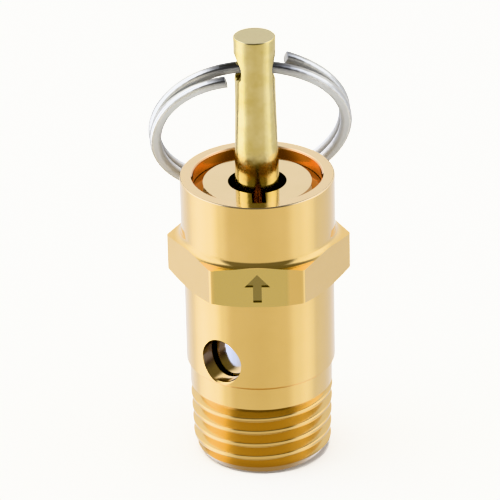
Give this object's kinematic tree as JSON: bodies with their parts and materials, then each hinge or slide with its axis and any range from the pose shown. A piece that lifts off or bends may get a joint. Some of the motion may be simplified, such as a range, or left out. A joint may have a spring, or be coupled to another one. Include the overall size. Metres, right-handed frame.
{
  "type": "pressure relief valve",
  "caption": "Small brass spring-loaded pressure relief valve with tapered male thread, hexagon, side discharge holes and a pull ring on its stem.",
  "frame": {"origin": "on the valve's axis at the inlet end face, the lower end of the male thread", "axes": "+Z along the valve's axis from the inlet to the top of the stem; -Y towards the hexagon flat with the flow arrow; the pull ring hangs at +Y"},
  "size_m": [0.0193, 0.0172, 0.043],
  "materials": {
    "body_brass": "bright turned brass",
    "stem_brass": "tumbled brass, soft shine",
    "screw_brass": "mirror turned brass",
    "plated_steel": "bright nickel plate",
    "bright_steel": "turned stainless steel",
    "spring_steel": "drawn stainless wire",
    "seal_rubber": "moulded fluoroelastomer"
  },
  "bodies": {
    "body": {"valve_body": "body_brass"},
    "spring_seat": {"upper_spring_seat": "bright_steel"},
    "adjuster": {"adjusting_screw": "screw_brass"},
    "lift": {"stem": "stem_brass", "disc_holder": "bright_steel", "seal_disc": "seal_rubber", "seal_washer": "bright_steel", "seal_screw": "bright_steel", "spring": "spring_steel"},
    "ring": {"split_ring": "plated_steel"}
  },
  "joints": [
    {"name": "stem_lift", "type": "slide", "parent": "body", "child": "lift", "axis": [0, 0, 1], "range_m": [0, 0.002], "stiffness_N_per_m": 100, "springref_m": -0.002, "deforming": ["spring"]},
    {"name": "ring_swing", "type": "hinge", "parent": "lift", "child": "ring", "pos_m": [0, 0, 0.03994], "axis": [0.9877, 0.1564, 0], "range_deg": [0, 303]},
    {"name": "spring_seat_travel", "type": "slide", "parent": "body", "child": "spring_seat", "axis": [0, 0, 1], "range_m": [-0.001, 0.0005], "deforming": ["spring"]},
    {"name": "screw_turn", "type": "hinge", "parent": "spring_seat", "child": "adjuster", "pos_m": [0, 0, 0.0265], "axis": [0, 0, 1], "range_deg": [-361, 181]}
  ],
  "couplings": [
    {"joint": "screw_turn", "follows": "spring_seat_travel", "rad_per_m": 6283.2}
  ]
}
